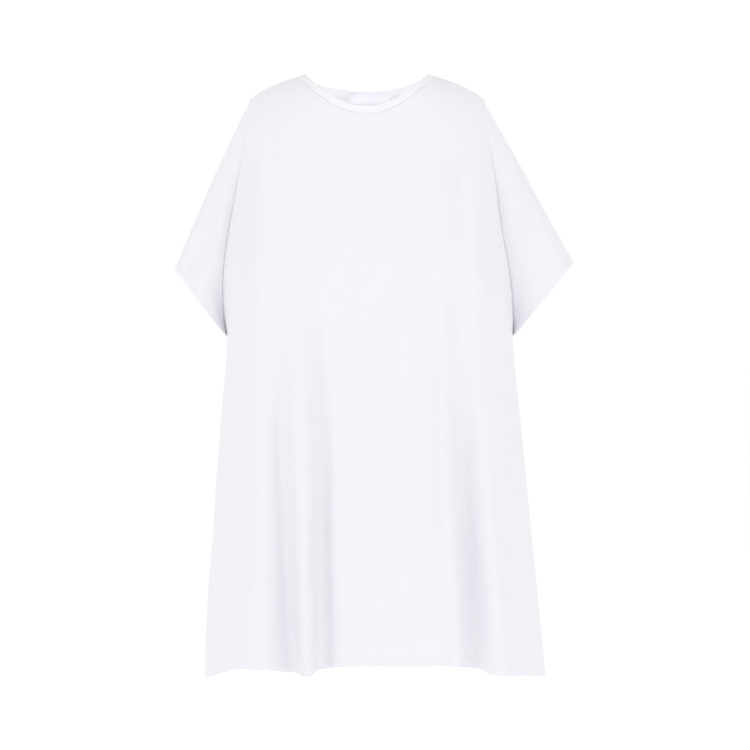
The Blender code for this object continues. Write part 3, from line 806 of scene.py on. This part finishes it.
back["creases"] = [
    ([(-.164, .1), (-.16, .19), (-.162, .3), (-.168, .4)], (.012, .013), (.0028, .002), (.3, .35), .2),
    ([(-.116, .38), (-.114, .56), (-.118, .76), (-.12, .96)], (.01, .017), (-.002, -.008), (.35, 0), .1),
    ([(-.044, .33), (-.046, .52), (-.048, .74), (-.05, .956)], (.01, .017), (-.002, -.008), (.35, 0), -.1),
    ([(-.08, .33), (-.084, .56), (-.088, .76), (-.09, .958)], (.01, .017), (.002, .005), (.35, 0), 0),
    ([(-.175, .48), (-.172, .64), (-.176, .8), (-.18, .96)], (.01, .015), (-.0014, -.005), (.35, 0), 0),
    ([(-.23, .56), (-.24, .74), (-.244, .96)], (.011, .016), (-.0012, -.0036), (.4, 0), 0),
    ([(.05, .4), (.056, .56), (.064, .76), (.07, .956)], (.01, .016), (-.0018, -.008), (.35, 0), .1),
    ([(.086, .42), (.088, .6), (.098, .78), (.104, .958)], (.01, .016), (.002, .005), (.35, 0), 0),
    ([(.118, .38), (.124, .56), (.13, .76), (.136, .96)], (.009, .015), (-.0018, -.008), (.35, 0), -.1),
    ([(.188, .5), (.19, .66), (.194, .82), (.196, .962)], (.01, .015), (-.0014, -.005), (.35, 0), 0),
    ([(.244, .6), (.256, .78), (.264, .966)], (.011, .016), (-.0012, -.0036), (.4, 0), 0),
    ([(.162, .11), (.16, .19), (.164, .3), (.172, .4)], (.012, .013), (.0026, .0018), (.3, .35), -.2),
    ([(-.03, .2), (-.026, .34), (-.022, .48)], (.014, .016), (.0012, .0012), (.4, .4), 0),
    ([(.026, .18), (.03, .32), (.032, .46)], (.014, .016), (-.0012, -.0012), (.4, .4), 0),
    ([(-.218, .4), (-.206, .375), (-.19, .34)], (.006, .009), (-.0016, -.0008), (.3, .5), 0),
    ([(.224, .4), (.212, .372), (.198, .34)], (.006, .009), (-.0014, -.0008), (.3, .5), 0),
]

for name, face in (("front", front), ("back", back)):
    grid = dressPanel(face, panelGrid(face))
    keep(name, shell("cloth_" + name, grid, hemWall(grid)), clothWhite, node=name)
    hemStitches("hem_" + name, "stitches_hem_" + name, grid)
    measured(name + " panel", pieces[name], grid)

# sleeves

sleeves = {
    "left": {
        "side": -1,
        "waves": (16, 0.04),  # seed and size of its unevenness
        "x": [.19, .194, .201, .2074, .232, .2728, .3136],
        "drop": [.04, .0506, .0637, .0768, .129, .2205, .3169],
        "dip": (62, 34, 0.006),  # degrees from the top fold, half its width in degrees, its depth
    },
    "right": {
        "side": 1,
        "waves": (18, 0.04),
        "x": [.19, .1945, .2025, .217, .2679, .3022, .3365],
        "drop": [.04, .0506, .0637, .0898, .1813, .2433, .3054],
        "dip": (74, 30, 0.0035),
    },
}
cuff = {
    "front": 0.048,  # how far it stands before and behind the top fold
    "back": 0.05,
    "middle": 0.25,
    "square": 0.85,
    "halfOpening": 0.0022,  # at the underarm
    "dipStart": 0.35,
    "dipRun": 0.4,
    "rows": 77,
    "bandRows": 14,
    "bandStart": 0.955,
    "topGap": 0.0008,
    "columns": 96,
    "crowding": 1.35,
    "fine": 240,
}
sleeveFinish = {
    **finish,
    "uneven": 0.0005,
    "pucker": 0.0002,
    "puckerPace": 540,
    "puckerShift": 2,
    "puckerWaves": (6, 0.02),
    "groove": 0.0004,
    "sideFade": 0.016,  # from the top fold to where each side's own creases are whole
    "openingEnd": 0.03,  # how far above the underarm the seam's dip ends
}
sleeves["left"]["creases"] = {
    "front": [
        ([(-.236, .17), (-.2488, .216), (-.2644, .274), (-.29, .328)],
         (.009, .011), (-.003, -.0042), (.3, .1), 0),
        ([(-.208, .13), (-.225, .19), (-.24, .26), (-.25, .34)], (.008, .012), (.0012, .0016), (.35, .3), 0),
        ([(-.232, .2), (-.252, .27), (-.27, .335)], (.008, .011), (-.0016, -.0024), (.35, .2), 0),
        ([(-.23, .41), (-.236, .37), (-.238, .32)], (.006, .009), (-.0022, -.001), (.15, .5), 0),
        ([(-.238, .405), (-.25, .37), (-.262, .33)], (.006, .01), (.0014, .0008), (.25, .5), 0),
    ],
    "back": [
        ([(-.212, .14), (-.228, .21), (-.244, .3)], (.009, .012), (-.0016, -.002), (.35, .3), 0),
        ([(-.24, .2), (-.26, .28), (-.274, .335)], (.009, .012), (.0014, .0018), (.35, .2), 0),
        ([(-.232, .408), (-.24, .37), (-.242, .32)], (.006, .009), (-.0018, -.001), (.15, .5), 0),
    ],
}
sleeves["right"]["creases"] = {
    "front": [
        ([(.22, .15), (.242, .22), (.26, .3)], (.009, .012), (.001, .0014), (.35, .3), 0),
        ([(.255, .2), (.28, .27), (.298, .33)], (.009, .012), (-.001, -.0014), (.35, .2), 0),
        ([(.24, .408), (.244, .37), (.245, .33)], (.006, .009), (-.0016, -.0008), (.15, .5), 0),
    ],
    "back": [
        ([(.218, .14), (.238, .22), (.254, .3)], (.009, .012), (-.0014, -.0018), (.35, .3), 0),
        ([(.25, .2), (.274, .27), (.292, .33)], (.009, .012), (.0012, .0016), (.35, .2), 0),
    ],
}


def sleeveHalf(face, sleeve, share, top, seam, atSeam):
    # from the top fold to the seam along part of an ellipse
    deepest = cuff[face["depth"]]
    seamAngle = 2 * math.atan(math.dist(top, seam) / atSeam)
    depth = atSeam / math.sin(seamAngle)
    if seamAngle > math.pi / 2 and depth > deepest:
        depth = deepest
        seamAngle = math.pi - math.asin(min(1.0, atSeam / deepest))
    angles = np.linspace(0, seamAngle, cuff["fine"])
    along = (1 - np.cos(angles)) / (1 - math.cos(seamAngle))
    x = top[0] + (seam[0] - top[0]) * along
    drop = top[1] + (seam[1] - top[1]) * along
    y = depth * np.sin(angles) ** (cuff["square"] + (1 - cuff["square"]) * angles / seamAngle)
    y = y * (atSeam / y[-1]) ** (angles / seamAngle)
    if face["sign"] < 0:
        middle, width, deep = sleeve["dip"]
        grown = np.clip((share - cuff["dipStart"]) / cuff["dipRun"], 0, 1)
        y = y - deep * bump(np.degrees(angles) - middle, width, width) * grown
    return np.stack([sleeve["side"] * x, face["sign"] * y, -drop], axis=-1)


def sleeveGrid(sleeve):
    # each row runs from the front armhole seam over the top fold to the back one
    line = np.array([sleeve["x"], sleeve["drop"]]).T
    run = lengths(line)
    shares = np.concatenate([np.linspace(0, 1, cuff["rows"] + 1)[:-1] * cuff["bandStart"],
                             np.linspace(cuff["bandStart"], 1, cuff["bandRows"] + 1)])
    toFold = 1 - 2 * np.linspace(0, 1, cuff["columns"] + 1)
    columns = 0.5 - 0.5 * np.sign(toFold) * (1 - (1 - np.abs(toFold)) ** cuff["crowding"])
    rows = []
    for share in shares:
        drop = dress["shoulderDrop"] + share * (dress["underarm"] - dress["shoulderDrop"])
        drop = max(drop, dress["shoulderDrop"] + cuff["topGap"])
        top = np.array([smooth(run, line[:, k], share * run[-1]) for k in range(2)])
        seamX = float(halfWidth(sleeve["side"], drop)) + float(seamInset(drop))
        halves = []
        for face in (front, back):
            atSeam = float(depthOf(face, np.array(sleeve["side"] * seamX), np.array(drop)))
            atSeam = max(atSeam, cuff["halfOpening"])
            halves.append(sleeveHalf(face, sleeve, share, top, (seamX, drop), atSeam))
        rows.append(placed(np.concatenate([halves[0][:0:-1], halves[1]]), columns))
    return np.array(rows)


def dressSleeve(sleeve, grid):
    facts = sleeveFinish
    normal = normalsOf(grid, middle=(sleeve["side"] * cuff["middle"], 0, 0))
    x, drop = grid[..., 0], -grid[..., 2]
    across, top = arcAlong(grid, 1), arcAlong(grid, 0)
    fromFront, fromBack = across, across[:, -1:] - across
    toSeam = np.minimum(fromFront, fromBack)
    out = np.zeros_like(x)
    for name, sign in (("front", -1), ("back", 1)):
        out += creaseHeight(sleeve["creases"][name], x, drop) * ease(sign * grid[..., 1] / facts["sideFade"])
    out *= ease(toSeam / facts["seamFade"]) * ease(top / facts["topFade"])
    out += facts["uneven"] * wander(across, top, *sleeve["waves"]) * ease(toSeam / facts["unevenFade"])
    waves, groove = stitchedBand(across, toEnd(grid), facts)
    out += waves * ease(across / facts["seamStart"]) - groove
    grid = grid + normal * out[..., None]
    seam = dress["seamDip"] * (near(fromFront, dress["seamWidth"]) - near(fromBack, dress["seamWidth"]))
    opening = np.clip((dress["underarm"] - facts["openingEnd"] - drop) / facts["armholeFade"], 0, 1)
    grid[..., 1] += seam * opening * ease(top / facts["seamStart"])
    return grid


for name, sleeve in sleeves.items():
    grid = dressSleeve(sleeve, sleeveGrid(sleeve))
    key = "sleeve_" + name
    keep(key, shell("cloth_" + key, grid, hemWall(grid)), clothWhite, node=key)
    hemStitches("cuff_" + name, "stitches_cuff_" + name, grid, (sleeve["side"] * cuff["middle"], 0, 0))
    measured(name + " sleeve", pieces[key], grid)

# neck binding

binding = {
    "wall": 0.0019,
    "proud": 0.0005,
    "crown": 0.0004,  # how much more it stands out along its middle
    "stitchAt": 0.0086,
    "groove": 0.0004,
    "grooveReach": 0.0009,
    "edgeAt": 0.0098,  # from here its outer edge goes down onto the cloth
    "edgeDown": 0.0006,
    "edgeRun": 0.0012,
    "pucker": 0.00012,
    "puckerPace": 700,
    "puckerShift": 2,
    "puckerWaves": (3, 0.03),
    "puckerAt": 0.009,
    "puckerReach": 0.004,
    "columns": 420,
    "rows": 19,
    "fine": 900,
}


def bindingGrid():
    rows = []
    for offset in np.linspace(0, dress["bindingWidth"], binding["rows"]):
        half = dress["neckHalf"] + offset
        ring = []
        for face, way in ((front, 1), (back, -1)):
            x = half * np.sin(np.linspace(-math.pi / 2, math.pi / 2, binding["fine"])) * way
            drop = necklineDrop(face, x, offset)
            points = onCloth(face, x, drop)
            points[:, 1] -= face["sign"] * gapFrom("shoulderGap", drop) / 2
            ring.append(placed(points, np.linspace(0, 1, binding["columns"] // 2 + 1))[:-1])
        rows.append(np.concatenate(ring))
    return np.array(rows)


grid = bindingGrid()
normal = normalsOf(grid, ring=True)
along = arcAlong(grid, 1)
down = np.linspace(0, dress["bindingWidth"], binding["rows"])[:, None]
shift = binding["puckerShift"] * wander(along, down * 0, *binding["puckerWaves"])
puckers = np.sin(along * binding["puckerPace"] + shift)
out = binding["proud"] + binding["crown"] * np.sin(down / dress["bindingWidth"] * math.pi)
out = out - binding["groove"] * near(down - binding["stitchAt"], binding["grooveReach"])
out = out - binding["edgeDown"] * ease((down - binding["edgeAt"]) / binding["edgeRun"])
out = out + binding["pucker"] * puckers * near(down - binding["puckerAt"], binding["puckerReach"])
grid = grid + normal * out[..., None]
piece = shell("cloth_binding", grid, binding["wall"], ring=True, roundness=0.5)
keep("binding", piece, bindingWhite, node="neck_binding")
row = int(round(binding["stitchAt"] / dress["bindingWidth"] * (binding["rows"] - 1)))
stitches("neck_line", "stitches_neck", grid[row], normal[row], closed=True)
measured("binding", piece, grid)

# label

label = {
    "middle": 0.004,
    "half": 0.034,
    "height": 0.0146,
    "topDrop": 0.0188,
    "inside": 0.0022,  # how far it lies inside the back's outer face
    "curl": 0.0005,  # how far its lower half lifts off the back
    "curlFade": 0.012,
    "ripple": 0.00015,
    "ripplePace": 190,
    "rippleFade": 0.008,
    "wall": 0.0005,
    "folded": 0.0012,  # its wall where the ends are turned under
    "turned": 0.0058,
    "foldStep": 0.0008,
    "stitchIn": 0.0032,
    "stitchDip": 0.0003,
    "stitchReach": 0.0007,
    "columns": 161,
    "rows": 33,
}

x = label["middle"] + np.linspace(-label["half"], label["half"], label["columns"])
drops = np.linspace(label["topDrop"], label["topDrop"] + label["height"], label["rows"])
grid = np.array([onCloth(back, x, np.full_like(x, drop)) for drop in drops])
normal = normalsOf(grid)
across, top = arcAlong(grid, 1), arcAlong(grid, 0)
fromEnd = np.minimum(across, across[:, -1:] - across)
curl = label["curl"] * ease((top / top[-1:, :] - 0.5) / 0.5) * ease(fromEnd / label["curlFade"])
ripple = label["ripple"] * np.sin(across * label["ripplePace"]) * ease(fromEnd / label["rippleFade"])
grid = grid - normal * (label["inside"] + curl + ripple)[..., None]
turnedUnder = 1 - ease((fromEnd - label["turned"]) / label["foldStep"])
wall = label["wall"] + (label["folded"] - label["wall"]) * turnedUnder
wall = wall - label["stitchDip"] * near(fromEnd - label["stitchIn"], label["stitchReach"])
piece = shell("label", grid, wall)
keep("label", piece, labelWhite, node="neck_label")
inner = grid - normal * wall[..., None]
for end, fromThisEnd in (("left", across[0]), ("right", across[0, -1] - across[0])):
    column = int(np.argmin(np.abs(fromThisEnd - label["stitchIn"])))
    stitches("label_" + end, "stitches_label_" + end, inner[1:-1, column], -normal[1:-1, column],
             facts=labelThread)
measured("label", piece, grid)

# camera, stage and light

view = {"place": (0.013067, -3.0, -0.49), "sensor": 36, "seenWidth": 1.225}  # the width seen at the dress
camera = addObject("camera", bpy.data.cameras.new("camera"))
camera.location = view["place"]
camera.rotation_euler = (math.radians(90), 0, 0)
camera.data.sensor_width = view["sensor"]
camera.data.lens = view["sensor"] * -view["place"][1] / view["seenWidth"]
bpy.context.scene.camera = camera

studio = {
    "floor": -1.32,
    "radius": 4.6,  # of the level floor, which then bends up into the wall
    "wall": 7.0,
    "height": 2.3,
    "around": 96,
    "floorRings": 8,
    "bendRings": 12,
    "colour": (0.5, 0.5, 0.505, 1),
    "roughness": 0.9,
    "glow": 0.58,
    "air": 0.61,
}
rings, around = studio["floorRings"], studio["around"]
profile = [(studio["radius"] * k / rings, studio["floor"]) for k in range(1, rings + 1)]
bend = studio["wall"] - studio["radius"]
for k in range(1, studio["bendRings"] + 1):
    turn = math.pi / 2 * k / studio["bendRings"]
    profile.append((studio["radius"] + bend * math.sin(turn), studio["floor"] + bend * (1 - math.cos(turn))))
profile.append((studio["wall"], studio["height"]))
turns = [2 * math.pi * k / around for k in range(around)]
points = np.array([(r * math.cos(turn), r * math.sin(turn), z) for r, z in profile for turn in turns]
                  + [(0, 0, studio["floor"])])
faces = []
for i in range(len(profile) - 1):
    for k in range(around):
        a, b = i * around + k, i * around + (k + 1) % around
        faces.append((a, b, b + around, a + around))
faces += [(len(points) - 1, (k + 1) % around, k) for k in range(around)]
stage = addMesh("studio", points, faces)
paper = bpy.data.materials.new("pale paper")
paper.use_nodes = True
Sock(paper.node_tree).fill("Principled BSDF", {
    "Base Color": studio["colour"],
    "Roughness": studio["roughness"],
    "Emission Color": (1, 1, 1, 1),
    "Emission Strength": studio["glow"],
})
paper.cycles.emission_sampling = "NONE"
stage.data.materials.append(paper)

world = bpy.data.worlds.new("studio air")
world.use_nodes = True
Sock(world.node_tree).fill("Background", {"Color": (1, 1, 1, 1), "Strength": studio["air"]})
bpy.context.scene.world = world


def softLight(name, place, size, watts, towards=(0, 0, -0.45)):
    lamp = bpy.data.lights.new(name, "AREA")
    lamp.shape = "RECTANGLE"
    lamp.size, lamp.size_y = size
    lamp.energy = watts
    made = addObject(name, lamp)
    made.location = place
    made.rotation_euler = (Vector(towards) - Vector(place)).to_track_quat("-Z", "Y").to_euler()
    return made


softLight("front softbox", (0.3, -3.4, 1.0), (2.8, 1.6), 14, towards=(0, 0, -0.3))
softLight("left softbox", (-3.6, -2.6, 0.3), (1.6, 2.6), 17)
softLight("right softbox", (3.6, -2.6, 0.3), (1.6, 2.6), 14)
softLight("top softbox", (0.0, -0.6, 4.2), (3.0, 3.0), 32, towards=(0, 0, 0))
softLight("back left", (-3.0, 3.6, 0.9), (1.8, 2.4), 22)
softLight("back right", (3.0, 3.6, 0.9), (1.8, 2.4), 20)
# in the hollow, it lights the inside of the back neck as brightly as the photo has it
neckFill = softLight("neck fill", (0, -0.055, -0.13), (0.15, 0.04), 0.155, towards=(0, 0.09, -0.03))
neckFill.visible_camera = False
bpy.context.scene.view_settings.view_transform = "Standard"
print("camera, studio and light set")
